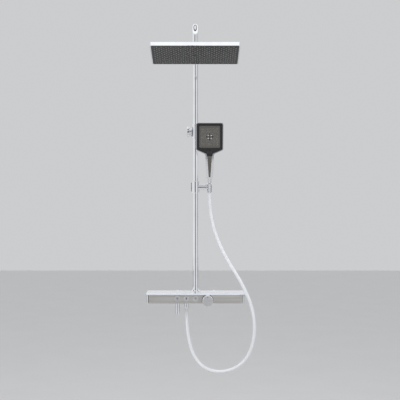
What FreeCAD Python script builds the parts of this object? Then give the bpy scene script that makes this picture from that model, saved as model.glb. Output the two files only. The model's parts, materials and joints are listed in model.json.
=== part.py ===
import FreeCAD, Part
import Sketcher
import math
import os
import re

# Rainfall shower column: a shelf-shaped thermostatic mixer, a riser with a sliding hand shower
# and a gooseneck arm with a tilting rain head. Wall plane Y = 0, front is -Y, up is +Z, and the
# origin is midway between the two water inlets. Millimetres.

Vector = FreeCAD.Vector
doc = FreeCAD.newDocument("ShowerColumn")
sheet = doc.addObject("Spreadsheet::Sheet", "Sizes")
worked = doc.addObject("App::VarSet", "Worked")
home = {}
pieces = []

SIZES = {
    "inlet_spacing": (150, "centre to centre of the two water inlets"),
    "shelf_width": (400, "top plate of the mixer, left to right"),
    "shelf_depth": (132, "wall to the front edge of the top plate"),
    "shelf_height": (39, "underside of the casing to the top of the plate"),
    "plate_thick": (5, "top plate"),
    "wall_space": (9, "wall to the back of the shelf, where the flanges sit"),
    "casing_wall": (2.5, "sheet of the casing"),
    "panel_thick": (4, "front panel"),
    "cap_width": (9.5, "end caps of the casing"),
    "standoff": (62, "wall to the riser's axis"),
    "riser_diameter": (24, "riser and arm tube"),
    "tube_wall": (1.2, "wall of the riser and the arm"),
    "bar_radius": (14, "mixer body bar"),
    "button_pitch": (37, "push button to push button"),
    "button_radius": (11, "push button"),
    "button_travel": (4, "how far a push button goes in"),
    "knob_across": (49, "temperature knob's axis right of the riser"),
    "knob_drop": (6.5, "temperature knob's axis below the inlets"),
    "knob_radius": (21.5, "temperature knob"),
    "knob_depth": (36, "temperature knob's length"),
    "spout_radius": (9.7, "bottom spout"),
    "spout_length": (51, "spout below the casing"),
    "bracket_up": (676, "wall bracket's height"),
    "collar_length": (59, "bracket collar"),
    "collar_wall": (3.5, "bracket collar"),
    "slider_up": (449, "hand shower slider's height"),
    "slider_length": (49, "slider collar"),
    "sleeve_wall": (0.9, "plastic sleeve inside the slider"),
    "side_arm_radius": (13, "slider's side arm"),
    "holder_across": (57, "holder's axis right of the riser"),
    "hand_tilt": (14, "hand shower leaning towards the user, degrees"),
    "hand_length": (231, "hand shower, handle end to head end"),
    "hand_width": (110, "hand shower face"),
    "hand_face": (112, "hand shower face, along the handle"),
    "hand_thick": (17, "hand shower head"),
    "handle_width": (30, "handle at its foot"),
    "arm_up": (1053, "axis of the arm's level run"),
    "arm_reach": (319, "riser's axis to the ball joint"),
    "arm_bend": (60, "first bend of the arm"),
    "drop_bend": (42, "second bend of the arm"),
    "ball_up": (971, "centre of the ball joint"),
    "ball_radius": (10, "ball joint"),
    "head_tilt": (12.7, "rain head, front edge raised, degrees"),
    "head_width": (330, "rain head, left to right"),
    "head_depth": (192, "rain head, back to front"),
    "head_thick": (15.5, "rain head"),
    "head_hang": (32, "ball centre to the rain head's face"),
    "hose_diameter": (13.6, "shower hose"),
    "running_gap": (0.05, "radial clearance of a running fit"),
    "free_gap": (0.3, "clearance between pieces that pass each other"),
}
for row, (alias, (amount, note)) in enumerate(SIZES.items(), start=1):
    sheet.set(f"A{row}", note)
    sheet.set(f"B{row}", str(amount))
    sheet.setAlias(f"B{row}", alias)
    home[alias] = "Sizes." + alias
doc.recompute()


def bound(formula):
    # a formula in plain size names, written the way the document stores it
    return re.sub(r"[a-z_][a-z0-9_]*", lambda word: home.get(word.group(), word.group()), str(formula))


def value(formula):
    return float(sheet.evalExpression(bound(formula)))


def work_out(name, formula):
    worked.addProperty("App::PropertyFloat", name)
    worked.setExpression(name, bound(formula))
    doc.recompute()
    home[name] = "Worked." + name


def bind(item, **formulas):
    for name, formula in formulas.items():
        item.setExpression(name.replace("__", "."), bound(formula))


# A frame is a point, a turning axis and an angle, all formulas: the pieces of one moving group share it.
FRAMES = {"wall": ("0", "0", "0", (0, 0, 1), "0")}


def place(item, frame):
    across, out, up, axis, angle = FRAMES[frame]
    item.Placement = FreeCAD.Placement(Vector(), FreeCAD.Rotation(Vector(*axis), 10))
    bind(item, Placement__Base__x=across, Placement__Base__y=out, Placement__Base__z=up,
         Placement__Rotation__Angle=angle)
    return item


def draw(body, plane, points, rise="0"):
    # closed outline with every corner dimensioned from the sketch's origin
    sketch = body.newObject("Sketcher::SketchObject", body.Name + "Sketch")
    base = [item for item in body.Origin.OriginFeatures if item.Role == plane][0]
    sketch.AttachmentSupport = [(base, "")]
    sketch.MapMode = "FlatFace"
    bind(sketch, AttachmentOffset__Base__z=rise)
    corners = [(value(a), value(b)) for a, b in points]
    for here, there in zip(corners, corners[1:] + corners[:1]):
        sketch.addGeometry(Part.LineSegment(Vector(*here, 0), Vector(*there, 0)))
    count = len(points)
    for index in range(count):
        sketch.addConstraint(Sketcher.Constraint("Coincident", index, 2, (index + 1) % count, 1))
    for index, (pair, corner) in enumerate(zip(points, corners)):
        for kind, formula, amount in zip(("DistanceX", "DistanceY"), pair, corner):
            number = sketch.addConstraint(Sketcher.Constraint(kind, -1, 1, index, 1, amount))
            sketch.setExpression(f"Constraints[{number}]", bound(formula))
    return sketch


def keep(item, label):
    item.Label = label
    pieces.append(item)
    return item


def turned(name, profile, frame="wall"):
    # solid of revolution about the frame's own Z: profile points are (radius, height)
    body = doc.addObject("PartDesign::Body", name)
    sketch = draw(body, "XZ_Plane", profile)
    revolve = body.newObject("PartDesign::Revolution", name + "Turn")
    revolve.Profile = sketch
    revolve.ReferenceAxis = (sketch, ["V_Axis"])
    revolve.Angle = 360
    return place(body, frame)


def ring(name, inner, outer, low, high, frame="wall"):
    return turned(name, [(inner, low), (outer, low), (outer, high), (inner, high)], frame)


def rod(name, radius, low, high, frame="wall"):
    return turned(name, [("0", low), (radius, low), (radius, high), ("0", high)], frame)


def slab(name, plane, points, rise, thick, frame="wall"):
    # straight pad of an outline: XY rises along +Z, XZ comes forward along -Y, YZ runs along +X
    body = doc.addObject("PartDesign::Body", name)
    sketch = draw(body, plane, points, rise)
    pad = body.newObject("PartDesign::Pad", name + "Pad")
    pad.Profile = sketch
    bind(pad, Length=thick)
    return place(body, frame)


def oblong(left, right, low, high):
    return [(left, low), (right, low), (right, high), (left, high)]


def along(edge, direction):
    if edge.Curve.TypeId != "Part::GeomLine":
        return False
    return abs(abs(edge.tangentAt(edge.FirstParameter).dot(direction)) - 1) < 1e-6


def round_edges(body, radius, wanted):
    doc.recompute()
    feature = body.Tip
    names = [f"Edge{number}" for number, edge in enumerate(feature.Shape.Edges, 1) if wanted(edge)]
    fillet = body.newObject("PartDesign::Fillet", body.Name + f"Round{len(body.Group)}")
    fillet.Base = (feature, names)
    bind(fillet, Radius=radius)
    return body


def upright(edge):
    return along(edge, Vector(0, 0, 1))


def forward(edge):
    return along(edge, Vector(0, 1, 0))


def joined(name, parts):
    fuse = doc.addObject("Part::MultiFuse", name)
    fuse.Shapes = parts
    return fuse


def cut(name, base, tools):
    result = doc.addObject("Part::Cut", name)
    result.Base = base
    result.Tool = tools[0] if len(tools) == 1 else joined(name + "Tools", tools)
    return result


def group(name, parts):
    compound = doc.addObject("Part::Compound", name)
    compound.Links = parts
    return compound


def common(name, parts):
    result = doc.addObject("Part::MultiCommon", name)
    result.Shapes = parts
    return result


# ---- sizes that several pieces share
work_out("riser_r", "riser_diameter / 2")
work_out("bore_r", "riser_r - tube_wall")
work_out("top_z", "shelf_height / 2")
work_out("plate_z", "top_z - plate_thick")
work_out("casing_z", "plate_z - 1")
work_out("low_z", "-shelf_height / 2")
work_out("half_w", "shelf_width / 2 - 2.5")
work_out("inner_w", "half_w - cap_width")
work_out("front_y", "-(shelf_depth - 2)")
work_out("panel_y", "front_y + panel_thick")
work_out("bar_z", "-3")
work_out("valve_y", "front_y + 18")
work_out("collar_r", "riser_r + collar_wall")
work_out("collar_low", "bracket_up - collar_length / 2")
work_out("collar_top", "bracket_up + collar_length / 2")
work_out("sleeve_r", "riser_r + running_gap + sleeve_wall")
work_out("slider_r", "riser_r + 4")
work_out("slider_low", "slider_up - slider_length / 2")
work_out("slider_top", "slider_up + slider_length / 2")
work_out("hose_r", "hose_diameter / 2")

FRAMES.update({
    "riser": ("0", "-standoff", "0", (0, 0, 1), "0"),
    "head": ("0", "-standoff - arm_reach", "ball_up", (1, 0, 0), "-head_tilt"),
    "ball": ("0", "-standoff - arm_reach", "ball_up", (0, 0, 1), "0"),
    "hand": ("holder_across", "-standoff", "slider_up", (1, 0, 0), "hand_tilt"),
    "bar": ("0", "-standoff", "bar_z", (0, 1, 0), "90"),
    "side": ("0", "-standoff", "slider_up", (0, 1, 0), "90"),
    "clamp": ("0", "-standoff", "bracket_up", (0, 1, 0), "-90"),
    "bracket": ("0", "0", "bracket_up", (1, 0, 0), "90"),
    "knob": ("knob_across", "0", "-knob_drop", (1, 0, 0), "90"),
    "spout": ("-2 * button_pitch", "-standoff", "0", (0, 0, 1), "0"),
    "outlet": ("-button_pitch", "-standoff", "0", (0, 0, 1), "0"),
    "inlet_left": ("-inlet_spacing / 2", "0", "0", (1, 0, 0), "90"),
    "inlet_right": ("inlet_spacing / 2", "0", "0", (1, 0, 0), "90"),
    "button_spout": ("-2 * button_pitch", "0", "0", (1, 0, 0), "90"),
    "button_hand": ("-button_pitch", "0", "0", (1, 0, 0), "90"),
    "button_head": ("0", "0", "0", (1, 0, 0), "90"),
})
OUTLETS = ("spout", "hand", "head")
SIDES = ("left", "right")

# ---- mixer body: a brass bar with ports for two inlets, three valves, a thermostat and the outlets
solid = [rod("BodyBar", "bar_radius", "-inlet_spacing / 2 - 20", "inlet_spacing / 2 + 12", "bar")]
hollow = [rod("BodyBore", "bar_radius - 5", "-inlet_spacing / 2 - 14", "inlet_spacing / 2 + 6", "bar")]
for side in SIDES:
    frame = "inlet_" + side
    solid.append(rod(f"Inlet{side}Boss", "bar_radius - 1", "30", "standoff", frame))
    hollow.append(rod(f"Inlet{side}Bore", "7", "29", "standoff", frame))
for outlet in OUTLETS:
    frame = "button_" + outlet
    solid.append(rod(f"Valve{outlet}Boss", "12.5", "standoff", "-valve_y - 2", frame))
    hollow.append(rod(f"Valve{outlet}Bore", "10", "standoff + 20", "-valve_y", frame))
    hollow.append(rod(f"Valve{outlet}Seat", "5", "standoff", "standoff + 21", frame))
solid.append(rod("ThermostatBoss", "10.4", "standoff", "-valve_y - 8", "knob"))
hollow.append(rod("ThermostatBore", "8.5", "standoff + 14", "-valve_y", "knob"))
hollow.append(rod("ThermostatSeat", "6", "standoff - 4", "standoff + 15", "knob"))
solid.append(rod("SpoutBoss", "spout_radius - 1", "low_z + casing_wall", "bar_z", "spout"))
hollow.append(rod("SpoutBore", "spout_radius - 3", "low_z", "bar_z", "spout"))
solid.append(rod("OutletBoss", "9", "low_z + casing_wall", "bar_z", "outlet"))
hollow.append(rod("OutletBore", "5", "low_z", "bar_z", "outlet"))
solid.append(rod("RiserBoss", "riser_r + 2.5", "bar_z", "plate_z - 0.5", "riser"))
hollow.append(rod("RiserSocket", "riser_r", "7", "plate_z", "riser"))
hollow.append(rod("RiserSeat", "riser_r - 3", "bar_z", "8", "riser"))
mixer = keep(cut("MixerBody", joined("MixerSolid", solid), hollow), "mixer_body")

# ---- casing, front panel, end caps, seal and top plate
casing_holes = []
panel_holes = []
for side in SIDES:
    casing_holes.append(rod(f"Union{side}Hole", "14", "0", "wall_space + 10", "inlet_" + side))
for outlet in OUTLETS:
    casing_holes.append(rod(f"Button{outlet}Hole", "button_radius + free_gap", "100", "-front_y", "button_" + outlet))
    panel_holes.append(rod(f"Panel{outlet}Hole", "button_radius + free_gap", "100", "5 - front_y", "button_" + outlet))
casing_holes.append(rod("KnobHole", "10.6", "100", "-front_y", "knob"))
panel_holes.append(rod("PanelKnobHole", "10.6", "100", "5 - front_y", "knob"))
casing_holes.append(rod("SpoutHole", "spout_radius", "low_z - 5", "low_z + 5", "spout"))
casing_holes.append(rod("OutletHole", "9", "low_z - 5", "low_z + 5", "outlet"))
casing_box = slab("CasingBox", "XY_Plane", oblong("-inner_w", "inner_w", "panel_y", "-wall_space"), "low_z", "casing_z - low_z")
casing_room = slab("CasingRoom", "XY_Plane",
                   oblong("casing_wall - inner_w", "inner_w - casing_wall", "panel_y + casing_wall", "-wall_space - casing_wall"),
                   "low_z + casing_wall", "shelf_height")
keep(cut("Casing", casing_box, [casing_room] + casing_holes), "shelf_casing")
panel = slab("PanelPlate", "XZ_Plane", oblong("-inner_w", "inner_w", "low_z", "casing_z"), "-panel_y", "panel_thick")
keep(cut("Panel", panel, panel_holes), "front_panel")
for side, sign in zip(SIDES, ("-", "")):
    near, far = f"{sign}(inner_w + 0.6)", f"{sign}half_w"
    outline = [(near, "front_y"), (far, "front_y"), (far, "-wall_space"), (near, "-wall_space")]
    cap = slab(f"Cap{side}", "XY_Plane", outline, "low_z", "casing_z - low_z")
    outer_x = value(far)
    round_edges(cap, "min(7.5; cap_width - 2)",
                lambda edge: upright(edge) and abs(edge.CenterOfMass.x - outer_x) < 0.01
                and edge.CenterOfMass.y < value("front_y") + 1)
    keep(cap, f"end_cap_{side}")
seal_out = slab("SealOuter", "XY_Plane", oblong("-half_w", "half_w", "front_y + 1", "-wall_space - 1"), "casing_z", "1")
seal_in = slab("SealInner", "XY_Plane", oblong("8 - half_w", "half_w - 8", "front_y + 9", "-wall_space - 9"), "casing_z - 1", "3")
keep(cut("Seal", seal_out, [seal_in]), "shelf_seal")
plate = slab("TopSlab", "XY_Plane", oblong("-shelf_width / 2", "shelf_width / 2", "-shelf_depth", "-wall_space"),
             "plate_z", "plate_thick")
round_edges(plate, "12", lambda edge: upright(edge) and edge.CenterOfMass.y < -100)
round_edges(plate, "1", lambda edge: edge.BoundBox.ZMin > value("top_z") - 0.01)
keep(cut("TopPlate", plate, [rod("PlateHole", "riser_r", "0", "shelf_height", "riser")]), "shelf_top")

# ---- wall unions, nuts, washers and flanges
parts_of = {"union": [], "nut": [], "washer": [], "flange": []}
for side in SIDES:
    frame = "inlet_" + side
    parts_of["union"].append(turned(f"Union{side}", [
        ("7", "-22"), ("10.48", "-22"), ("10.48", "0"), ("12", "0"), ("12", "wall_space + 3"),
        ("10.5", "wall_space + 3"), ("10.5", "28"), ("7", "28")], frame))
    parts_of["nut"].append(ring(f"UnionNut{side}", "10.5", "13.6", "wall_space + 4", "27.9", frame))
    parts_of["washer"].append(ring(f"Washer{side}", "7", "10.5", "28", "30", frame))
    parts_of["flange"].append(turned(f"Flange{side}", [
        ("12", "0"), ("21", "0"), ("21", "3"), ("15", "wall_space - 1"), ("12", "wall_space - 1")], frame))
keep(group("Unions", parts_of["union"]), "wall_unions")
keep(group("UnionNuts", parts_of["nut"]), "union_nuts")
keep(group("Washers", parts_of["washer"]), "inlet_washers")
keep(group("Flanges", parts_of["flange"]), "wall_flanges")

# ---- valves, springs and push buttons
work_out("spring_radius", "7.2")
work_out("wire_radius", "0.55")
work_out("spring_room", "3.5 - front_y + valve_y - 1.4")
valves = []
for outlet in OUTLETS:
    frame = "button_" + outlet
    valves.append(turned(f"Valve{outlet}", [
        ("5", "standoff + 20"), ("10", "standoff + 20"), ("10", "-valve_y"), ("5.8", "-valve_y"),
        ("5.8", "-valve_y + 1"), ("3.6", "-valve_y + 1"), ("3.6", "-valve_y - 14"), ("5", "-valve_y - 14")], frame))
    button = turned(f"Button{outlet}", [
        ("0", "-valve_y - 5"), ("3.5", "-valve_y - 5"), ("3.5", "-front_y + 3.5"), ("9.4", "-front_y + 3.5"),
        ("9.4", "-front_y - 8"), ("button_radius", "-front_y - 8"), ("button_radius", "-front_y + 5.2"),
        ("button_radius - 0.8", "-front_y + 6"), ("0", "-front_y + 6")], frame)
    keep(button, f"{outlet}_button")
    FRAMES["spring"] = (FRAMES[frame][0], "valve_y - 0.7", "0", (1, 0, 0), "90")
    spring = doc.addObject("PartDesign::Body", f"Spring{outlet}")
    wire = spring.newObject("Sketcher::SketchObject", f"Wire{outlet}")
    wire.AttachmentSupport = [([item for item in spring.Origin.OriginFeatures if item.Role == "XZ_Plane"][0], "")]
    wire.MapMode = "FlatFace"
    wire.addGeometry(Part.Circle(Vector(value("spring_radius"), 0, 0), Vector(0, 0, 1), value("wire_radius")))
    for kind, ends, formula in (("DistanceX", (-1, 1, 0, 3), "spring_radius"), ("Radius", (0,), "wire_radius")):
        number = wire.addConstraint(Sketcher.Constraint(kind, *ends, value(formula)))
        wire.setExpression(f"Constraints[{number}]", bound(formula))
    wire.addConstraint(Sketcher.Constraint("PointOnObject", 0, 3, -1))
    coil = spring.newObject("PartDesign::AdditiveHelix", f"Coil{outlet}")
    coil.Profile = wire
    coil.ReferenceAxis = (wire, ["V_Axis"])
    coil.Mode = 0
    bind(coil, Height="spring_room", Pitch="spring_room / 4")
    place(spring, "spring")
    keep(spring, f"{outlet}_button_spring")
keep(group("Valves", valves), "valve_cartridges")

# ---- thermostat, scale ring, temperature knob and its stop button
keep(turned("Thermostat", [
    ("6", "standoff + 15"), ("8.5", "standoff + 15"), ("8.5", "-front_y + 1"), ("6", "-front_y + 4"),
    ("4", "-front_y + 4"), ("4", "-front_y + 20"), ("0", "-front_y + 20"), ("0", "standoff + 24"),
    ("6", "standoff + 24")], "knob"), "thermostat_cartridge")
work_out("scale_radius", "knob_radius + 1.5")
keep(cut("ScaleRing", ring("ScaleDisc", "12.5", "scale_radius", "-front_y", "-front_y + 2.2", "knob"), [
    slab("ScaleTrim", "XY_Plane", oblong("knob_across - scale_radius - 5", "knob_across + scale_radius + 5",
                                         "front_y - 5", "front_y + 5"), "plate_z - 0.5", "scale_radius")]), "scale_ring")
knob_solid = turned("KnobTurned", [
    ("4 + running_gap", "-front_y + 6"), ("11", "-front_y + 6"), ("11", "-front_y + 2.5"),
    ("knob_radius - 0.4", "-front_y + 2.5"), ("knob_radius", "-front_y + 4"),
    ("knob_radius", "knob_depth - front_y - 1.5"), ("knob_radius - 1.5", "knob_depth - front_y"),
    ("13", "knob_depth - front_y"), ("13", "knob_depth - front_y - 3"), ("4 + running_gap", "knob_depth - front_y - 3")],
    "knob")
FRAMES["stop"] = ("knob_across", "front_y - 14", "-knob_drop", (1, 0, 0), "180")
stop_hole = rod("StopHole", "2.8", "knob_radius - 6", "knob_radius + 6", "stop")
keep(cut("Knob", knob_solid, [stop_hole]), "temperature_knob")
keep(rod("KnobCap", "13", "knob_depth - front_y - 3", "knob_depth - front_y + 0.4", "knob"), "knob_cap")
keep(rod("StopButton", "2.75", "knob_radius - 3.5", "knob_radius + 3.5", "stop"), "temperature_stop")

# ---- spout, aerator, hose outlet and its nut
keep(turned("Spout", [
    ("spout_radius - 3", "low_z + casing_wall"), ("spout_radius", "low_z + casing_wall"),
    ("spout_radius", "low_z - spout_length"), ("spout_radius - 1.2", "low_z - spout_length"),
    ("spout_radius - 1.2", "low_z - spout_length + 12"), ("spout_radius - 3", "low_z - spout_length + 12")],
    "spout"), "spout")
keep(turned("Aerator", [
    ("0", "low_z - spout_length + 2"), ("spout_radius - 1.2", "low_z - spout_length + 2"),
    ("spout_radius - 1.2", "low_z - spout_length + 12"), ("0", "low_z - spout_length + 12")], "spout"), "aerator")
keep(turned("HoseOutlet", [
    ("5", "low_z + casing_wall"), ("9", "low_z + casing_wall"), ("9", "low_z - 3"), ("7.6", "low_z - 3"),
    ("7.6", "low_z - 14"), ("5", "low_z - 14")], "outlet"), "hose_outlet")
keep(turned("OutletNut", [
    ("7.6", "low_z - 3.2"), ("9", "low_z - 3.2"), ("9", "low_z - 24"), ("7.6", "low_z - 30"), ("5", "low_z - 30"),
    ("5", "low_z - 14.5"), ("7.6", "low_z - 14.5")], "outlet"), "outlet_nut")

# ---- riser, its base nut and seal
keep(ring("Riser", "bore_r", "riser_r", "8", "bracket_up - 0.2", "riser"), "riser_tube")
keep(turned("BaseNut", [
    ("riser_r", "top_z"), ("riser_r + 7", "top_z"), ("riser_r + 7", "top_z + 5"), ("riser_r + 2", "top_z + 9"),
    ("riser_r + 2", "top_z + 14"), ("riser_r", "top_z + 14")], "riser"), "riser_base_nut")

# ---- wall bracket: plate, screws, cover, spacer rod, collar, clamp screw with its knob
screws = []
screw_holes = []
for side, up in (("Low", "-14"), ("High", "14")):
    FRAMES["screw"] = ("0", "0", f"bracket_up + ({up})", (1, 0, 0), "90")
    screws.append(turned(f"Screw{side}", [
        ("0", "-30"), ("2.2", "-30"), ("2.2", "-1"), ("1.8", "-1"), ("1.8", "5"), ("4", "5"), ("4", "8"),
        ("0", "8")], "screw"))
    screw_holes.append(rod(f"ScrewHole{side}", "2.4", "-1", "6", "screw"))
keep(cut("BracketPlate", rod("BracketDisc", "23", "0", "5", "bracket"), screw_holes), "bracket_plate")
keep(group("BracketScrews", screws), "bracket_screws")
keep(turned("BracketCover", [
    ("23.1", "0"), ("25", "0"), ("25", "9"), ("22", "12"), ("8", "12"), ("8", "10.5"), ("22", "10.5"),
    ("23.1", "9")], "bracket"), "bracket_cover")
keep(rod("SpacerRod", "8", "5", "standoff - riser_r - 0.5", "bracket"), "spacer_rod")
collar_tube = ring("CollarTube", "riser_r", "collar_r", "collar_low", "collar_top", "riser")
round_edges(collar_tube, "0.8", lambda edge: edge.Curve.TypeId == "Part::GeomCircle"
            and edge.Curve.Radius > value("collar_r") - 0.1 and abs(edge.CenterOfMass.z) > 1)
keep(cut("Collar", collar_tube, [
    rod("RodSocket", "8", "5", "standoff - riser_r - 0.5", "bracket"),
    ring("ArmBearing", "riser_r - 1", "riser_r + running_gap", "bracket_up - 0.2", "collar_top + 1", "riser"),
    rod("ClampHole", "4 + running_gap", "riser_r - 2", "collar_r + 4", "clamp")]), "bracket_collar")
keep(turned("ClampKnob", [
    ("0", "riser_r + 0.3"), ("4", "riser_r + 0.3"), ("4", "collar_r + 1"), ("9", "collar_r + 1"),
    ("9", "collar_r + 9"), ("21", "collar_r + 9.8"), ("22", "collar_r + 11"), ("22", "collar_r + 18"),
    ("20.5", "collar_r + 19.5"), ("0", "collar_r + 19.5")], "clamp"), "clamp_knob")

# ---- gooseneck arm: straight runs and quarter bends of one tube, with a spigot in the riser
def bend(name, radius, tube, frame_point, turn):
    torus = doc.addObject("Part::Torus", name)
    torus.Placement = FreeCAD.Placement(Vector(), turn)
    torus.Angle3 = 90
    across, out, up = frame_point
    bind(torus, Radius1=radius, Radius2=tube, Placement__Base__x=across, Placement__Base__y=out,
         Placement__Base__z=up)
    return torus


FRAMES["level"] = ("0", "0", "arm_up", (1, 0, 0), "90")
FRAMES["drop"] = ("0", "-standoff - arm_reach", "0", (0, 0, 1), "0")


def arm(name, tube, spare):
    rear = FreeCAD.Rotation(Vector(0, 1, 0), Vector(0, 0, 1), Vector(1, 0, 0), "ZXY")
    front = FreeCAD.Rotation(Vector(0, 0, 1), Vector(0, -1, 0), Vector(1, 0, 0), "ZXY")
    return joined(name, [
        rod(name + "Rise", tube, f"bracket_up - {spare}", "arm_up - arm_bend", "riser"),
        bend(name + "BendRear", "arm_bend", tube, ("0", "-standoff - arm_bend", "arm_up - arm_bend"), rear),
        rod(name + "Level", tube, "standoff + arm_bend", "standoff + arm_reach - drop_bend", "level"),
        bend(name + "BendFront", "drop_bend", tube,
             ("0", "drop_bend - standoff - arm_reach", "arm_up - drop_bend"), front),
        rod(name + "Drop", tube, f"ball_up + 18 - {spare}", "arm_up - drop_bend", "drop")])


keep(cut("Arm", arm("ArmOuter", "riser_r", "0"), [arm("ArmInner", "bore_r", "1")]), "shower_arm")
keep(turned("Spigot", [
    ("8.4", "bracket_up - 34"), ("bore_r - 0.08", "bracket_up - 34"), ("bore_r - 0.08", "bracket_up - 28"),
    ("9.6", "bracket_up - 28"), ("9.6", "bracket_up - 25"), ("bore_r - 0.08", "bracket_up - 25"),
    ("bore_r - 0.08", "bracket_up - 14"), ("9.6", "bracket_up - 14"), ("9.6", "bracket_up - 11"),
    ("bore_r - 0.08", "bracket_up - 11"), ("bore_r - 0.08", "bracket_up"), ("bore_r", "bracket_up"),
    ("bore_r", "bracket_up + 24"), ("8.4", "bracket_up + 24")], "riser"), "arm_spigot")
keep(group("SpigotSeals", [
    ring("SealLow", "9.6", "bore_r - 0.02", "bracket_up - 28", "bracket_up - 25", "riser"),
    ring("SealHigh", "9.6", "bore_r - 0.02", "bracket_up - 14", "bracket_up - 11", "riser")]), "spigot_seals")
ball = doc.addObject("Part::Sphere", "Ball")
bind(place(ball, "ball"), Radius="ball_radius")
ball_stem = turned("BallStem", [
    ("0", "0"), ("4.5", "0"), ("4.5", "15"), ("riser_r", "15"), ("riser_r", "18"), ("bore_r", "18"),
    ("bore_r", "30"), ("6", "30"), ("6", "20"), ("0", "20")], "ball")
keep(cut("BallStud", joined("BallStudSolid", [ball, ball_stem]), [rod("BallBore", "2.5", "-12", "24", "ball")]),
     "ball_stud")


# ---- rain head: two nested seat rings round the ball, cup, nut, casing, face plate and nozzle mat
def shell(name, inner, outer):
    spheres = []
    for part, radius in (("Out", outer), ("In", inner)):
        sphere = doc.addObject("Part::Sphere", name + part)
        bind(place(sphere, "head"), Radius=radius)
        spheres.append(sphere)
    band = rod(name + "Band", "20", "-7", "6.2", "head")
    return common(name, [cut(name + "Shell", spheres[0], [spheres[1]]), band])


keep(shell("SeatRing", "ball_radius + running_gap", "ball_radius + 1.5"), "ball_seat")
keep(shell("WearRing", "ball_radius + 1.5 + running_gap", "ball_radius + 3"), "ball_washer")
cavity = doc.addObject("Part::Sphere", "HeadCavity")
bind(place(cavity, "head"), Radius="ball_radius + 3 + running_gap")
work_out("face_z", "-head_hang")
work_out("back_z", "head_thick - head_hang")
head_box = slab("HeadBox", "XY_Plane", oblong("-head_width / 2", "head_width / 2", "-head_depth / 2", "head_depth / 2"),
                "face_z", "head_thick", "head")
round_edges(head_box, "9", upright)
round_edges(head_box, "2.5", lambda edge: edge.BoundBox.ZMin > value("back_z") - 0.01)
head_room = slab("HeadRoom", "XY_Plane",
                 oblong("4 - head_width / 2", "head_width / 2 - 4", "4 - head_depth / 2", "head_depth / 2 - 4"),
                 "face_z - 1", "head_thick - 1.5", "head")
round_edges(head_room, "5.5", upright)
head_case = joined("HeadSolid", [cut("HeadTray", head_box, [head_room]), rod("HeadCup", "17", "back_z - 1", "-1", "head")])
keep(cut("HeadCasing", head_case, [cavity, rod("HeadWay", "6", "face_z", "0", "head")]), "head_casing")
nut = turned("BallNutTurned", [
    ("10", "-12"), ("19.5", "-12"), ("20.5", "-11"), ("20.5", "3"), ("15", "8.6"), ("10.4", "8.6"),
    ("10", "8")], "head")
keep(cut("BallNut", nut, [cavity.Document.copyObject(cavity), rod("NutThread", "17", "-20", "-0.8", "head")]), "ball_nut")
mat = slab("MatPlate", "XY_Plane",
           oblong("4.2 - head_width / 2", "head_width / 2 - 4.2", "4.2 - head_depth / 2", "head_depth / 2 - 4.2"),
           "face_z + 3", "2", "head")
round_edges(mat, "5.3", upright)
keep(mat, "nozzle_mat")
face = slab("FacePlate", "XY_Plane",
            oblong("4.2 - head_width / 2", "head_width / 2 - 4.2", "4.2 - head_depth / 2", "head_depth / 2 - 4.2"),
            "face_z + 0.6", "2.4", "head")
round_edges(face, "5.3", upright)
keep(face, "head_face")

# ---- slider: plastic sleeve that slides, collar with side arm that swivels, release button, holder
keep(turned("Sleeve", [
    ("riser_r + running_gap", "slider_low"), ("slider_r", "slider_low"), ("slider_r", "slider_low + 1.5"),
    ("sleeve_r", "slider_low + 1.5"), ("sleeve_r", "slider_top - 1.5"), ("slider_r", "slider_top - 1.5"),
    ("slider_r", "slider_top"), ("riser_r + running_gap", "slider_top")], "riser"), "slider_sleeve")
work_out("arm_end", "holder_across - 11")
slider_solid = joined("SliderSolid", [
    rod("SliderDrum", "slider_r", "slider_low + 1.8", "slider_top - 1.8", "riser"),
    turned("SideArm", [("0", "0"), ("side_arm_radius", "0"), ("side_arm_radius", "arm_end - 1"),
                       ("side_arm_radius - 1", "arm_end"), ("0", "arm_end")], "side")])
FRAMES["press"] = ("0", "-standoff", "slider_up", (0, 0, 1), "0")
keep(cut("Slider", slider_solid, [
    rod("SleeveBore", "sleeve_r + running_gap", "slider_low", "slider_top", "riser"),
    rod("PinBore", "3", "arm_end - 18", "arm_end + 1", "side"),
    slab("ReleasePocket", "XY_Plane", oblong("-slider_r - 5", "-sleeve_r - 0.6", "-5.3", "5.3"), "-18.3", "36.6",
         "press")]), "slider_collar")
release = slab("Release", "XY_Plane", oblong("-slider_r - 4", "-slider_r + 0.3", "-5", "5"), "-18", "36", "press")
keep(round_edges(release, "1.5", lambda edge: upright(edge) and edge.CenterOfMass.x < value("-slider_r - 3")),
     "release_button")
keep(rod("HolderPin", "3", "arm_end - 18", "holder_across - 8.8", "side"), "holder_pin")
holder_solid = joined("HolderSolid", [
    turned("HolderCone", [("0", "-20"), ("9.6", "-20"), ("10.4", "0"), ("10.4", "12"), ("9.6", "13"), ("0", "13")],
           "hand"),
    rod("HolderBoss", "9", "arm_end + free_gap", "holder_across - 5", "side")])
keep(cut("Holder", holder_solid, [
    turned("HolderTaper", [("0", "-21"), ("7.9", "-21"), ("8.8", "14"), ("0", "14")], "hand"),
    slab("HoseSlot", "XY_Plane", oblong("-7.3", "7.3", "-20", "0"), "-21", "36", "hand"),
    rod("PinHole", "3 + running_gap", "arm_end", "holder_across - 8", "side")]), "hand_holder")

# ---- hand shower
work_out("foot", "38.4")
work_out("crown", "foot + hand_length")
work_out("chin", "crown - hand_face")
work_out("neck", "chin - 17")
work_out("face_y", "-14")
keep(turned("ConeNut", [
    ("5", "-24"), ("7.5", "-24"), ("8.45", "13.05"), ("9.8", "13.05"), ("9.8", "16"), ("8.5", "17.5"),
    ("8.5", "foot - free_gap"), ("6.25 + running_gap", "foot - free_gap"), ("6.25 + running_gap", "28"),
    ("5", "28")], "hand"), "cone_nut")
half = "hand_width / 2"
foot_half = "handle_width / 2"


def mirrored(points):
    # the right half of an outline, from its foot up, and the same again on the left
    return points + [(f"-({across})", up) for across, up in reversed(points)]


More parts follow.
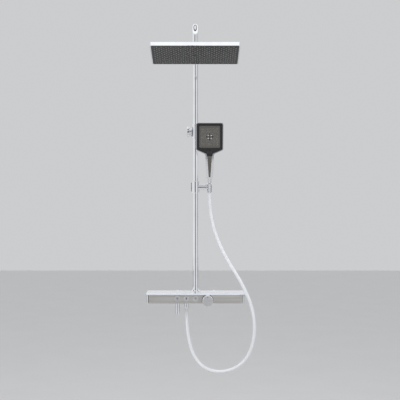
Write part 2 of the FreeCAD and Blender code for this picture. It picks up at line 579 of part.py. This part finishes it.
HAND_OUTLINE = mirrored([(foot_half, "foot"), (f"{foot_half} + 2", "neck"), (half, "chin"), (half, "crown")])
BEZEL_OUTLINE = mirrored([("10.5", "neck - 10"), ("13.5", "neck + 2"), (f"{half} - 3", "chin + 2"),
                          (f"{half} - 3", "crown - 3")])
INLAY_OUTLINE = mirrored([("3.5", "foot + 6"), ("9", "neck - 11")])
WINDOW = oblong("13 - " + half, half + " - 13", "chin + 9", "crown - 13")
MODE_HOLE = oblong("-7.3", "7.3", "neck", "chin - 2")


def hand_plate(name, outline, back, thick, corner="0"):
    # a flat layer of the hand shower's face, its back so far in front of the handle's axis
    plate = slab(name, "XZ_Plane", outline, back, thick, "hand")
    if value(corner):
        round_edges(plate, corner, lambda edge: forward(edge) and edge.CenterOfMass.z > value("neck") + 5)
    return plate


front = hand_plate("HandFront", HAND_OUTLINE, "-30", "60", "9")
round_edges(front, "14", lambda edge: forward(edge) and abs(edge.CenterOfMass.z - value("neck")) < 1)
side_view = slab("HandSide", "YZ_Plane", [
    ("face_y", "foot"), ("10", "foot"), ("11", "neck - 18"), ("face_y + hand_thick", "chin + 8"),
    ("face_y + hand_thick", "crown"), ("face_y", "crown")], "-hand_width", "2 * hand_width", "hand")
round_edges(side_view, "4", lambda edge: along(edge, Vector(1, 0, 0)) and edge.CenterOfMass.y > 0)
keep(cut("HandShell", common("HandSolid", [front, side_view]), [
    hand_plate("BezelRecess", BEZEL_OUTLINE, "9.5", "20", "7"),
    hand_plate("InlayRecess", INLAY_OUTLINE, "-face_y - 1.2", "20"),
    hand_plate("WaterRoom", oblong("14 - " + half, half + " - 14", "chin + 10", "crown - 14"), "-0.5", "10.1"),
    hand_plate("NeckRoom", oblong("-6", "6", "neck - 4", "chin + 11"), "-0.5", "6"),
    rod("HandleBore", "6.25", "foot - 1", "neck", "hand")]), "hand_shower_shell")
keep(ring("HandStub", "5", "6.25", "28.5", "foot + 14", "hand"), "hand_inlet")
keep(hand_plate("InlayPlate", INLAY_OUTLINE, "-face_y - 1.2", "1.2"), "handle_inlay")
keep(cut("Bezel", hand_plate("BezelPlate", BEZEL_OUTLINE, "10", "-face_y - 10.2", "7"), [
    hand_plate("BezelWindow", WINDOW, "5", "20", "5"), hand_plate("BezelHole", MODE_HOLE, "5", "20")]), "hand_bezel")
keep(hand_plate("ModeButton", oblong("-7", "7", "neck + 0.3", "chin - 2.3"), "-face_y - 2.4", "4.4"), "mode_button")
keep(hand_plate("HandFacePlate", WINDOW, "-face_y - 2.8", "2.3", "5"), "hand_face")
keep(hand_plate("HandMat", WINDOW, "9.6", "-face_y - 12.5", "5"), "hand_nozzle_mat")

# ---- shower hose: straight runs joined by tangent arcs, hanging in front of the shelf's right end
HOSE_PATH = [
    ("holder_across", "-standoff + 24 * sin(hand_tilt)", "slider_up - 24 * cos(hand_tilt)"),
    ("holder_across", "-standoff + 80 * sin(hand_tilt)", "slider_up - 80 * cos(hand_tilt)"),
    ("77", "-standoff", "slider_up - 187"),
    ("shelf_width / 2 - 76", "-shelf_depth + 28", "slider_up - 290"),
    ("shelf_width / 2 - 12", "-shelf_depth - 14", "slider_up - 387"),
    ("shelf_width / 2 + 34", "-shelf_depth - 24", "slider_up - 498"),
    ("shelf_width / 2 + 37.5", "-shelf_depth - 6", "slider_up - 620"),
    ("shelf_width / 2 - 4", "-shelf_depth + 20", "slider_up - 716"),
    ("107", "-shelf_depth + 44", "slider_up - 759"),
    ("13", "-standoff - 8", "slider_up - 734"),
    ("-button_pitch", "-standoff", "low_z - 151"),
    ("-button_pitch", "-standoff", "low_z - 30"),
]
corners = [Vector(*(value(part) for part in point)) for point in HOSE_PATH]
runs = [there.distanceToPoint(here) for here, there in zip(corners, corners[1:])]
edges = []
here = corners[0]
for index in range(1, len(corners) - 1):
    corner = corners[index]
    back = (corners[index - 1] - corner).normalize()
    ahead = (corners[index + 1] - corner).normalize()
    half_turn = (math.pi - back.getAngle(ahead)) / 2
    reach = 0.45 * min(runs[index - 1], runs[index])
    arc_radius = reach / math.tan(half_turn)
    start, end = corner + back * reach, corner + ahead * reach
    centre = corner + (back + ahead).normalize() * math.hypot(arc_radius, reach)
    middle = centre + (corner - centre).normalize() * arc_radius
    print(f"hose corner {index}: turn {math.degrees(2 * half_turn):.1f} degrees, radius {arc_radius:.1f} mm")
    edges.append(Part.LineSegment(here, start).toShape())
    edges.append(Part.Arc(start, middle, end).toShape())
    here = end
edges.append(Part.LineSegment(here, corners[-1]).toShape())
path = Part.Wire(edges)
section = Part.Wire(Part.Circle(corners[0], corners[1] - corners[0], value("hose_r")).toShape())
hose = doc.addObject("Part::Feature", "Hose")
hose.Shape = path.makePipeShell([section], True, False)
keep(hose, "hose")
print(f"hose length {path.Length:.1f} mm, volume ratio {hose.Shape.Volume / (path.Length * math.pi * value('hose_r') ** 2):.4f}")

# ---- check and write
doc.recompute()
for item in doc.Objects:
    if "Invalid" in item.State or "Error" in item.State:
        raise RuntimeError(f"{item.Label} did not build: {item.State}")
os.makedirs("parts", exist_ok=True)
for item in pieces:
    shape = item.Shape
    if shape.isNull() or not shape.isValid() or not shape.Solids:
        raise RuntimeError(f"{item.Label} is not a sound solid")
    shape.exportStep(f"parts/{item.Label}.step")
print(f"{len(pieces)} pieces written")
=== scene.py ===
import json
import math
import bmesh
import bpy
from mathutils import Matrix, Vector


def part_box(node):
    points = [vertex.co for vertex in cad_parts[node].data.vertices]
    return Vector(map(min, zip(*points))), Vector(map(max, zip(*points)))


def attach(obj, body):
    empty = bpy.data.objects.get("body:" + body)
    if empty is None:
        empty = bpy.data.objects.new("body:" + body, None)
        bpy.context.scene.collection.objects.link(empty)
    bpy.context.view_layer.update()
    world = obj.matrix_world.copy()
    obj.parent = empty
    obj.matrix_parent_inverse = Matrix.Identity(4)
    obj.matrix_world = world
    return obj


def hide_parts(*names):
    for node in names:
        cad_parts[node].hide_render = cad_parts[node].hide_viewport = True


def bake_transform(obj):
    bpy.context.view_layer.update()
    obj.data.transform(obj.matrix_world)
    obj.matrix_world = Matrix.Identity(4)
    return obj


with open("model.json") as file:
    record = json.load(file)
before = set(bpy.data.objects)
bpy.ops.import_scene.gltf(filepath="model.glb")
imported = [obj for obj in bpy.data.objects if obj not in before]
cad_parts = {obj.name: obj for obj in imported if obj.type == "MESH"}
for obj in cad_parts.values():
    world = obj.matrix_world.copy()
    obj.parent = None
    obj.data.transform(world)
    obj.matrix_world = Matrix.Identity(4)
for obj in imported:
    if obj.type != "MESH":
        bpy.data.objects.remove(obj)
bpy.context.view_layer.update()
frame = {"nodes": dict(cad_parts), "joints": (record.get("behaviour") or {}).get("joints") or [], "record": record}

nodes = frame["nodes"]
joints = {joint["name"]: joint for joint in frame["joints"]}


def leaningFrame(jointName, along):
    # a moving group's own frame, leaning about X: its Z (or Y) lies along the joint's axis
    joint = joints[jointName]
    axis = Vector(joint["axis"])
    lean = math.atan2(-axis.y, axis.z) if along == "z" else math.atan2(axis.z, axis.y)
    return Matrix.Translation(joint["pos_m"]) @ Matrix.Rotation(lean, 4, "X")


headFrame = leaningFrame("head_spin", "z")
handFrame = leaningFrame("hand_turn", "z")

# camera, level and straight in front
cameraFacts = {"across": 0.018, "out": 3.662, "up": 0.437, "lens": 79.02, "shiftUp": -0.025}
camera = bpy.data.objects.new("camera", bpy.data.cameras.new("camera"))
camera.location = (cameraFacts["across"], -cameraFacts["out"], cameraFacts["up"])
camera.rotation_euler = (math.radians(90), 0, 0)
camera.data.lens = cameraFacts["lens"]
camera.data.sensor_width = 36
camera.data.shift_y = cameraFacts["shiftUp"]
camera.data.clip_end = 60
bpy.context.scene.collection.objects.link(camera)
bpy.context.scene.camera = camera
print("camera placed")


# material helpers
def newMaterial(name):
    material = bpy.data.materials.new(name)
    material.use_nodes = True
    tree = material.node_tree
    shader = tree.nodes["Principled BSDF"]
    return material, tree, shader


def noiseOn(tree, scale, detail=4, stretch=(1, 1, 1)):
    # noise that sits on the piece itself, stretched along its grain
    place = tree.nodes.new("ShaderNodeTexCoord")
    mapping = tree.nodes.new("ShaderNodeMapping")
    mapping.inputs["Scale"].default_value = stretch
    noise = tree.nodes.new("ShaderNodeTexNoise")
    noise.inputs["Scale"].default_value = scale
    noise.inputs["Detail"].default_value = detail
    tree.links.new(place.outputs["Object"], mapping.inputs["Vector"])
    tree.links.new(mapping.outputs["Vector"], noise.inputs["Vector"])
    return noise


def spread(tree, source, low, high, target):
    # a 0 to 1 signal spread between two values into a shader socket
    between = tree.nodes.new("ShaderNodeMapRange")
    between.inputs["To Min"].default_value = low
    between.inputs["To Max"].default_value = high
    tree.links.new(source, between.inputs["Value"])
    tree.links.new(between.outputs["Result"], target)


def tint(tree, source, dark, light, target, low=0.35, high=0.65):
    ramp = tree.nodes.new("ShaderNodeValToRGB")
    ramp.color_ramp.elements[0].position = low
    ramp.color_ramp.elements[1].position = high
    ramp.color_ramp.elements[0].color = (*dark, 1)
    ramp.color_ramp.elements[1].color = (*light, 1)
    tree.links.new(source, ramp.inputs["Fac"])
    tree.links.new(ramp.outputs["Color"], target)


def bump(tree, shader, source, strength, distance):
    node = tree.nodes.new("ShaderNodeBump")
    node.inputs["Strength"].default_value = strength
    node.inputs["Distance"].default_value = distance
    tree.links.new(source, node.inputs["Height"])
    tree.links.new(node.outputs["Normal"], shader.inputs["Normal"])


def metal(name, dark, light, rough, grain=60, stretch=(1, 1, 1), relief=0.0):
    material, tree, shader = newMaterial(name)
    shader.inputs["Metallic"].default_value = 1.0
    noise = noiseOn(tree, grain, 5, stretch)
    tint(tree, noise.outputs["Fac"], dark, light, shader.inputs["Base Color"])
    spread(tree, noise.outputs["Fac"], rough[0], rough[1], shader.inputs["Roughness"])
    if relief:
        bump(tree, shader, noise.outputs["Fac"], relief, 0.0002)
    return material


def plastic(name, dark, light, rough, grain=300, relief=0.1, coat=0.0):
    material, tree, shader = newMaterial(name)
    shader.inputs["Coat Weight"].default_value = coat
    noise = noiseOn(tree, grain, 3)
    tint(tree, noise.outputs["Fac"], dark, light, shader.inputs["Base Color"])
    spread(tree, noise.outputs["Fac"], rough[0], rough[1], shader.inputs["Roughness"])
    bump(tree, shader, noise.outputs["Fac"], relief, 0.0001)
    return material


finishes = {
    "chrome": metal("polishedChrome", (0.78, 0.79, 0.81), (0.84, 0.85, 0.87), (0.02, 0.05), 25),
    "satin_panel": metal("satinPanel", (0.7, 0.685, 0.66), (0.78, 0.765, 0.74), (0.34, 0.44), 90,
                         (0.04, 1, 1), 0.05),
    "brass": metal("castBrass", (0.55, 0.43, 0.2), (0.68, 0.55, 0.29), (0.25, 0.45), 220, (1, 1, 1), 0.3),
    "spring_steel": metal("springSteel", (0.48, 0.49, 0.5), (0.6, 0.61, 0.62), (0.2, 0.35), 300),
    "shelf_plate": plastic("shelfPlate", (0.76, 0.78, 0.83), (0.8, 0.82, 0.87), (0.1, 0.16), 40, 0.02, 0.4),
    "dark_face": plastic("darkFace", (0.010, 0.010, 0.011), (0.016, 0.016, 0.018), (0.34, 0.46), 500, 0.12),
    "grey_face": plastic("greyFace", (0.085, 0.08, 0.072), (0.12, 0.113, 0.103), (0.34, 0.46), 500, 0.12),
    "chromed_plastic": metal("chromedPlastic", (0.78, 0.79, 0.81), (0.84, 0.85, 0.87), (0.03, 0.06), 30),
    "dark_button": plastic("darkButton", (0.008, 0.008, 0.009), (0.014, 0.014, 0.016), (0.08, 0.14), 300,
                           0.05, 0.8),
    "seal_rubber": plastic("sealRubber", (0.09, 0.09, 0.1), (0.13, 0.13, 0.14), (0.5, 0.7), 400, 0.2),
    "white_plastic": plastic("whitePlastic", (0.74, 0.74, 0.72), (0.8, 0.8, 0.78), (0.35, 0.5), 400, 0.1),
    "hose_silver": plastic("hoseSilver", (0.74, 0.75, 0.78), (0.8, 0.81, 0.84), (0.2, 0.32), 500, 0.1, 0.3),
}
# the knob's and the buttons' faces are satin, the rest of the chromed plastic is bright
satinChrome = metal("satinChrome", (0.84, 0.845, 0.86), (0.9, 0.905, 0.92), (0.3, 0.4), 120)
satinNodes = {"knob_cap", "temperature_knob", "spout_button", "hand_button", "head_button"}
slotOf = {piece["node"]: piece["material_slot"] for piece in frame["record"]["subparts"]}
for name, node in nodes.items():
    node.data.materials.clear()
    node.data.materials.append(satinChrome if name in satinNodes else finishes[slotOf[name]])
print("CAD pieces finished")

# shower hose: the route from the holder's cone down in front of the shelf and up to its outlet
hoseFacts = {"diameter": 0.0136, "ribPitch": 0.0026, "ribDepth": 0.00035, "sides": 16}
hoseRoute = [
    (0.057, -0.0562, 0.4257), (0.057, -0.0426, 0.3714), (0.077, -0.062, 0.262), (0.124, -0.104, 0.159),
    (0.188, -0.146, 0.062), (0.234, -0.156, -0.049), (0.2375, -0.138, -0.171), (0.196, -0.112, -0.267),
    (0.107, -0.088, -0.310), (0.013, -0.070, -0.285), (-0.037, -0.062, -0.1705), (-0.037, -0.062, -0.0495),
]


def splineThrough(name, route):
    curve = bpy.data.curves.new(name, "CURVE")
    curve.dimensions = "3D"
    curve.resolution_u = 40
    spline = curve.splines.new("NURBS")
    spline.points.add(len(route) - 1)
    for point, place in zip(spline.points, route):
        point.co = (*place, 1)
    spline.order_u = 3
    spline.use_endpoint_u = True
    item = bpy.data.objects.new(name, curve)
    bpy.context.scene.collection.objects.link(item)
    return item


def linePoints(item):
    # the plain line of an unbevelled curve, in order
    bpy.context.view_layer.update()
    mesh = bpy.data.meshes.new_from_object(item.evaluated_get(bpy.context.evaluated_depsgraph_get()))
    points = [vertex.co.copy() for vertex in mesh.vertices]
    bpy.data.meshes.remove(mesh)
    return points


def evenly(points, step):
    # the same line again with points one step apart, ends kept
    lengths = [0]
    for here, there in zip(points, points[1:]):
        lengths.append(lengths[-1] + (there - here).length)
    count = round(lengths[-1] / step)
    even = []
    index = 0
    for number in range(count + 1):
        at = lengths[-1] * number / count
        while index < len(points) - 2 and lengths[index + 1] < at:
            index += 1
        part = (at - lengths[index]) / (lengths[index + 1] - lengths[index])
        even.append(points[index].lerp(points[index + 1], min(1, part)))
    return even, lengths[-1]


def tubeMesh(name, points, radii, sides):
    # rings carried along the line without twist, ends closed
    verts = []
    faces = []
    ahead = (points[1] - points[0]).normalized()
    side = ahead.orthogonal().normalized()
    for index, point in enumerate(points):
        if index:
            there = points[min(index + 1, len(points) - 1)]
            fresh = (there - points[index - 1]).normalized()
            side = (ahead.rotation_difference(fresh) @ side).normalized()
            ahead = fresh
        up = ahead.cross(side)
        for step in range(sides):
            angle = math.tau * step / sides
            verts.append(point + radii[index] * (math.cos(angle) * side + math.sin(angle) * up))
    for ring in range(len(points) - 1):
        for step in range(sides):
            here = ring * sides + step
            beside = ring * sides + (step + 1) % sides
            faces.append((here, beside, beside + sides, here + sides))
    faces.append(tuple(reversed(range(sides))))
    faces.append(tuple(range(len(verts) - sides, len(verts))))
    mesh = bpy.data.meshes.new(name)
    mesh.from_pydata(verts, [], faces)
    mesh.shade_smooth()
    item = bpy.data.objects.new(name, mesh)
    bpy.context.scene.collection.objects.link(item)
    return item


routeLine = splineThrough("hoseLine", hoseRoute)
ribs = [0, 0.7, 1, 0.7]
hosePath, hoseLength = evenly(linePoints(routeLine), hoseFacts["ribPitch"] / len(ribs))
bpy.data.objects.remove(routeLine)
hoseRadii = [hoseFacts["diameter"] / 2 - hoseFacts["ribDepth"] * (1 - ribs[number % len(ribs)])
             for number in range(len(hosePath))]
showerHose = tubeMesh("showerHose", hosePath, hoseRadii, hoseFacts["sides"])
showerHose.data.materials.append(finishes["hose_silver"])
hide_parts("hose")
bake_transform(showerHose)
print("hose laid,", round(hoseLength, 3), "m")


# repeated small shapes: one node tree puts a tapered stud on every point of a pattern
def studTree():
    tree = bpy.data.node_groups.new("studsOnPoints", "GeometryNodeTree")
    face = tree.interface
    face.new_socket("Geometry", in_out="INPUT", socket_type="NodeSocketGeometry")
    settings = (("Sides", "Int", 12), ("Foot Radius", "Float", 0.001), ("Tip Radius", "Float", 0.001),
                ("Height", "Float", 0.001), ("Sink", "Float", 0.0), ("Turn", "Vector", (0, 0, 0)))
    for label, kind, start in settings:
        face.new_socket(label, in_out="INPUT", socket_type="NodeSocket" + kind).default_value = start
    face.new_socket("Material", in_out="INPUT", socket_type="NodeSocketMaterial")
    face.new_socket("Geometry", in_out="OUTPUT", socket_type="NodeSocketGeometry")
    given = tree.nodes.new("NodeGroupInput")
    result = tree.nodes.new("NodeGroupOutput")
    cone = tree.nodes.new("GeometryNodeMeshCone")
    lower = tree.nodes.new("GeometryNodeTransform")
    drop = tree.nodes.new("ShaderNodeCombineXYZ")
    points = tree.nodes.new("GeometryNodeMeshToPoints")
    instances = tree.nodes.new("GeometryNodeInstanceOnPoints")
    realize = tree.nodes.new("GeometryNodeRealizeInstances")
    paint = tree.nodes.new("GeometryNodeSetMaterial")
    link = tree.links.new
    link(given.outputs["Sides"], cone.inputs["Vertices"])
    link(given.outputs["Foot Radius"], cone.inputs["Radius Bottom"])
    link(given.outputs["Tip Radius"], cone.inputs["Radius Top"])
    link(given.outputs["Height"], cone.inputs["Depth"])
    link(given.outputs["Sink"], drop.inputs["Z"])
    link(cone.outputs["Mesh"], lower.inputs["Geometry"])
    link(drop.outputs["Vector"], lower.inputs["Translation"])
    link(given.outputs["Geometry"], points.inputs["Mesh"])
    link(points.outputs["Points"], instances.inputs["Points"])
    link(lower.outputs["Geometry"], instances.inputs["Instance"])
    link(given.outputs["Turn"], instances.inputs["Rotation"])
    link(instances.outputs["Instances"], realize.inputs["Geometry"])
    link(realize.outputs["Geometry"], paint.inputs["Geometry"])
    link(given.outputs["Material"], paint.inputs["Material"])
    link(paint.outputs["Geometry"], result.inputs["Geometry"])
    return tree


studs = studTree()


def plainMesh(item):
    # an object's evaluated shape as its own mesh, its modifiers gone
    bpy.context.view_layer.update()
    made = bpy.data.meshes.new_from_object(item.evaluated_get(bpy.context.evaluated_depsgraph_get()))
    item.modifiers.clear()
    item.data = made
    return item


def studded(name, pattern, facts, finish, body, place):
    # studs on a pattern of points in a moving group's own frame
    mesh = bpy.data.meshes.new(name)
    mesh.from_pydata(pattern, [], [])
    item = bpy.data.objects.new(name, mesh)
    bpy.context.scene.collection.objects.link(item)
    modifier = item.modifiers.new("studs", "NODES")
    modifier.node_group = studs
    for socket in studs.interface.items_tree:
        if socket.in_out == "INPUT" and socket.name in facts:
            modifier[socket.identifier] = facts[socket.name]
        if socket.in_out == "INPUT" and socket.name == "Material":
            modifier[socket.identifier] = finish
    plainMesh(item)
    item.data.transform(place)
    item.data.shade_smooth()
    item.data.set_sharp_from_angle(angle=math.radians(40))
    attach(item, body)
    return item


def staggered(across, deep, pitch, step, keepOut=0.0, corner=0.0):
    # rows one step apart, every second row shifted by half a pitch
    points = []
    rows = int(deep / step)
    for row in range(-rows, rows + 1):
        shift = pitch / 2 if row % 2 else 0
        columns = int(across / pitch) + 1
        for column in range(-columns, columns + 1):
            x, y = column * pitch + shift, row * step
            if abs(x) <= across and math.hypot(x, y) >= keepOut and abs(x) + abs(y) <= across + deep - corner:
                points.append((x, y))
    return points


# rain head: nozzles in staggered rows under the dark plate, a small cap at its middle
rainFacts = {"across": 0.1545, "deep": 0.0868, "pitch": 0.0176, "step": 0.0099, "keepOut": 0.006,
             "corner": 0.006, "faceDrop": -0.0314,
             "nozzle": {"Sides": 10, "Foot Radius": 0.0026, "Tip Radius": 0.0017, "Height": 0.0012,
                        "Sink": 0.0002}}
rainPattern = [(x, y, rainFacts["faceDrop"]) for x, y in
               staggered(rainFacts["across"], rainFacts["deep"], rainFacts["pitch"], rainFacts["step"],
                         rainFacts["keepOut"], rainFacts["corner"])]
downward = {"Turn": (math.pi, 0, 0)}
nozzleRubber = plastic("nozzleRubber", (0.27, 0.265, 0.25), (0.34, 0.335, 0.32), (0.4, 0.55), 800, 0.1)
studded("rainNozzles", rainPattern, {**rainFacts["nozzle"], **downward}, nozzleRubber,
        "head", headFrame)

# hand shower: fine nozzles round four bigger ones at the middle of the face
sprayFacts = {
    "reach": 0.036, "pitch": 0.0062, "step": 0.0031, "keepOut": 0.0125, "faceOut": -0.0136,
    "jetOff": 0.006, "spotOff": 0.0115,
    "nozzle": {"Sides": 8, "Foot Radius": 0.0012, "Tip Radius": 0.0008, "Height": 0.0009, "Sink": 0.0001},
    "jet": {"Sides": 14, "Foot Radius": 0.0021, "Tip Radius": 0.0014, "Height": 0.0012, "Sink": -0.0001},
    "spot": {"Sides": 16, "Foot Radius": 0.0026, "Tip Radius": 0.0024, "Height": 0.0007, "Sink": -0.0001},
}
handFaceBox = [Vector(corner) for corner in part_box("hand_face")]
faceMiddle = handFrame.inverted() @ ((handFaceBox[0] + handFaceBox[1]) / 2)
forwards = {"Turn": (math.pi / 2, 0, 0)}


def onHandFace(points):
    return [(x, sprayFacts["faceOut"], faceMiddle.z + z) for x, z in points]


sprayPattern = onHandFace(staggered(sprayFacts["reach"], sprayFacts["reach"], sprayFacts["pitch"],
                                    sprayFacts["step"], sprayFacts["keepOut"]))
studded("sprayNozzles", sprayPattern, {**sprayFacts["nozzle"], **forwards}, nozzleRubber,
        "hand_shower", handFrame)
jetOff = sprayFacts["jetOff"]
jetPattern = onHandFace([(jetOff * x, jetOff * z) for x, z in ((-1, -1), (1, -1), (-1, 1), (1, 1))])
studded("sprayJets", jetPattern, {**sprayFacts["jet"], **forwards}, finishes["white_plastic"],
        "hand_shower", handFrame)
spotOff = sprayFacts["spotOff"]
darkSpots = onHandFace([(0, 0), (spotOff, 0), (-spotOff, 0), (0, spotOff), (0, -spotOff)])
studded("spraySpots", darkSpots, {**sprayFacts["spot"], **forwards}, finishes["dark_face"],
        "hand_shower", handFrame)
print("nozzles set")


# flat marks on the buttons, the knob and its scale ring, as thin closed plates facing the user
def plates(name, outlines, frontY, depth, finish, body):
    verts, faces = [], []
    for outline in outlines:
        first, count = len(verts), len(outline)
        verts += [(x, frontY, z) for x, z in outline] + [(x, frontY + depth, z) for x, z in outline]
        faces.append(tuple(first + index for index in range(count)))
        faces.append(tuple(first + count + index for index in reversed(range(count))))
        for index in range(count):
            after = (index + 1) % count
            faces.append((first + index, first + count + index, first + count + after, first + after))
    mesh = bpy.data.meshes.new(name)
    mesh.from_pydata(verts, [], faces)
    cleaned = bmesh.new()
    cleaned.from_mesh(mesh)
    bmesh.ops.recalc_face_normals(cleaned, faces=cleaned.faces)
    cleaned.to_mesh(mesh)
    cleaned.free()
    mesh.materials.append(finish)
    item = bpy.data.objects.new(name, mesh)
    bpy.context.scene.collection.objects.link(item)
    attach(item, body)
    return item


def bar(x, z, angle, inner, outer, half):
    # a short bar pointing away from (x, z), angle measured from straight up, clockwise
    out, side = (math.sin(angle), math.cos(angle)), (math.cos(angle), -math.sin(angle))
    return [(x + out[0] * r + side[0] * w, z + out[1] * r + side[1] * w)
            for r, w in ((inner, -half), (outer, -half), (outer, half), (inner, half))]


def disc(x, z, radius, sides=16):
    return [(x + radius * math.sin(math.tau * n / sides), z + radius * math.cos(math.tau * n / sides))
            for n in range(sides)]


def panelOf(x, z, wide, tall):
    return [(x - wide, z - tall), (x + wide, z - tall), (x + wide, z + tall), (x - wide, z + tall)]


def spoutIcon(x, z):
    # a spout with a drop under it
    return [panelOf(x - 0.0012, z + 0.0028, 0.0036, 0.0011), panelOf(x + 0.0027, z + 0.001, 0.001, 0.0022),
            disc(x + 0.0027, z - 0.0032, 0.001)]


def handIcon(x, z):
    # a round hand shower on its handle
    return [disc(x, z + 0.0028, 0.0026), bar(x, z + 0.001, math.pi, 0, 0.0055, 0.0009)]


def headIcon(x, z):
    # a wide rain head with three jets
    jets = [panelOf(x + off, z - 0.0005, 0.0005, 0.0014) for off in (-0.0028, 0, 0.0028)]
    return [panelOf(x, z + 0.0034, 0.0044, 0.001), *jets]


markFacts = {"proud": 0.00015, "thick": 0.0003}
indexBar = {"inner": 0.0145, "outer": 0.0198, "half": 0.0007}
scaleBar = {"inner": 0.02175, "outer": 0.02275, "half": 0.00035}
scaleFacts = {"end": 140, "step": 20, "reach": 0.0228, "under": 0.0138}
buttonIcons = {
    "spout_push": ("spout_button", spoutIcon),
    "hand_push": ("hand_button", handIcon),
    "head_push": ("head_button", headIcon),
}
for body, (node, icon) in buttonIcons.items():
    low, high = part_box(node)
    middle = ((low[0] + high[0]) / 2, (low[2] + high[2]) / 2)
    plates(node + "Icon", icon(*middle), low[1] - markFacts["proud"], markFacts["thick"],
           finishes["grey_face"], body)

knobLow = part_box("temperature_knob")[0]
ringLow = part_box("scale_ring")[0]
knobMiddle = (joints["temperature_turn"]["pos_m"][0], joints["temperature_turn"]["pos_m"][2])
plates("knobIndex", [bar(*knobMiddle, 0, **indexBar)], knobLow[1] - markFacts["proud"],
       markFacts["thick"], finishes["dark_face"], "knob")
# scale marks to each side of straight up, left out where the ring is trimmed under the shelf's top plate
scaleAngles = [math.radians(angle)
               for angle in range(-scaleFacts["end"], scaleFacts["end"] + 1, scaleFacts["step"])]
scaleMarks = [bar(*knobMiddle, angle, **scaleBar) for angle in scaleAngles
              if scaleFacts["reach"] * math.cos(angle) + knobMiddle[1] < scaleFacts["under"]]
plates("scaleMarks", scaleMarks, ringLow[1] - markFacts["proud"], markFacts["thick"],
       finishes["white_plastic"], "column")
print("marks set")


# floor and lamps
stageFacts = {"floorUp": -1.0, "floorReach": 12.0, "floorFront": -3.3, "paleness": 0.6}
lamps = {
    "keyLamp": {"place": (-2.2, -3.2, 2.6), "aim": (0, -0.2, 0.4), "size": 1.6, "watts": 55},
    "fillLamp": {"place": (2.6, -2.6, 1.2), "aim": (0, -0.2, 0.4), "size": 1.4, "watts": 22},
    "topLamp": {"place": (0.2, 0.6, 3.2), "aim": (0, -0.2, 0.4), "size": 1.5, "watts": 25},
}


def stageMaterial():
    material, tree, shader = newMaterial("stagePale")
    shader.inputs["Roughness"].default_value = 0.9
    noise = noiseOn(tree, 3, 2)
    pale = stageFacts["paleness"]
    tint(tree, noise.outputs["Fac"], (pale - 0.01,) * 3, (pale,) * 3, shader.inputs["Base Color"])
    return material


reach = stageFacts["floorReach"]
floorMesh = bpy.data.meshes.new("floor")
front = stageFacts["floorFront"]
floorMesh.from_pydata([(-reach, front, stageFacts["floorUp"]), (reach, front, stageFacts["floorUp"]),
                       (reach, reach, stageFacts["floorUp"]), (-reach, reach, stageFacts["floorUp"])],
                      [], [(0, 1, 2, 3)])
floorMesh.materials.append(stageMaterial())
floor = bpy.data.objects.new("floor", floorMesh)
bpy.context.scene.collection.objects.link(floor)

for name, facts in lamps.items():
    lamp = bpy.data.lights.new(name, "AREA")
    lamp.size = facts["size"]
    lamp.energy = facts["watts"]
    item = bpy.data.objects.new(name, lamp)
    # polished metal shows the room, not the lamps
    item.visible_glossy = False
    item.location = facts["place"]
    item.rotation_euler = (Vector(facts["aim"]) - Vector(facts["place"])).to_track_quat("-Z", "Y").to_euler()
    bpy.context.scene.collection.objects.link(item)

# the world: one plain pale room for every ray, its backdrop behind the object, soft boxes to either side
# of the camera and overhead, and between them a grey gap that polished metal shows as a thin dark line
roomFacts = {
    "around": [(0.0, 0.6), (0.1, 0.6), (0.15, 0.85), (0.415, 0.92), (0.437, 0.2), (0.515, 0.2), (0.535, 0.92),
               (0.62, 0.9), (0.66, 0.4), (0.72, 0.36), (0.78, 0.85), (0.88, 0.6), (1.0, 0.6)],
    "overhead": [(0.0, 0.4), (0.3, 0.4), (0.5, 0.3), (0.68, 0.85), (0.75, 1.2), (0.86, 1.15), (0.89, 0.12),
                 (0.93, 0.12), (0.96, 0.9), (1.0, 0.9)],
}
world = bpy.data.worlds.new("studio")
bpy.context.scene.world = world
world.use_nodes = True
tree = world.node_tree


def rampOf(stops):
    ramp = tree.nodes.new("ShaderNodeValToRGB")
    elements = ramp.color_ramp.elements
    while len(elements) < len(stops):
        elements.new(0.5)
    for element, (position, level) in zip(elements, stops):
        element.position = position
        element.color = (level, level * 1.012, level * 1.03, 1)
    return ramp


def mathNode(operation, *inputs):
    node = tree.nodes.new("ShaderNodeMath")
    node.operation = operation
    for index, value in enumerate(inputs):
        if isinstance(value, (int, float)):
            node.inputs[index].default_value = value
        else:
            tree.links.new(value, node.inputs[index])
    return node.outputs[0]


direction = tree.nodes.new("ShaderNodeTexCoord")
split = tree.nodes.new("ShaderNodeSeparateXYZ")
tree.links.new(direction.outputs["Generated"], split.inputs[0])
turn = mathNode("ARCTAN2", split.outputs["X"], mathNode("MULTIPLY", split.outputs["Y"], -1))
around = rampOf(roomFacts["around"])
tree.links.new(mathNode("MULTIPLY_ADD", turn, 1 / math.tau, 0.5), around.inputs["Fac"])
height = mathNode("MULTIPLY_ADD", split.outputs["Z"], 0.5, 0.5)
overhead = rampOf(roomFacts["overhead"])
tree.links.new(height, overhead.inputs["Fac"])
steep = tree.nodes.new("ShaderNodeMapRange")
steep.inputs["From Min"].default_value = 0.3
steep.inputs["From Max"].default_value = 0.5
tree.links.new(mathNode("ABSOLUTE", split.outputs["Z"]), steep.inputs["Value"])
mirrored = tree.nodes.new("ShaderNodeMix")
mirrored.data_type = "RGBA"
tree.links.new(steep.outputs[0], mirrored.inputs["Factor"])
tree.links.new(around.outputs["Color"], mirrored.inputs["A"])
tree.links.new(overhead.outputs["Color"], mirrored.inputs["B"])

background = tree.nodes["Background"]
background.inputs["Strength"].default_value = 1.0
tree.links.new(mirrored.outputs["Result"], background.inputs["Color"])
tree.links.new(background.outputs[0], tree.nodes["World Output"].inputs["Surface"])
print("stage and world set")

bpy.context.scene.view_settings.view_transform = "Standard"
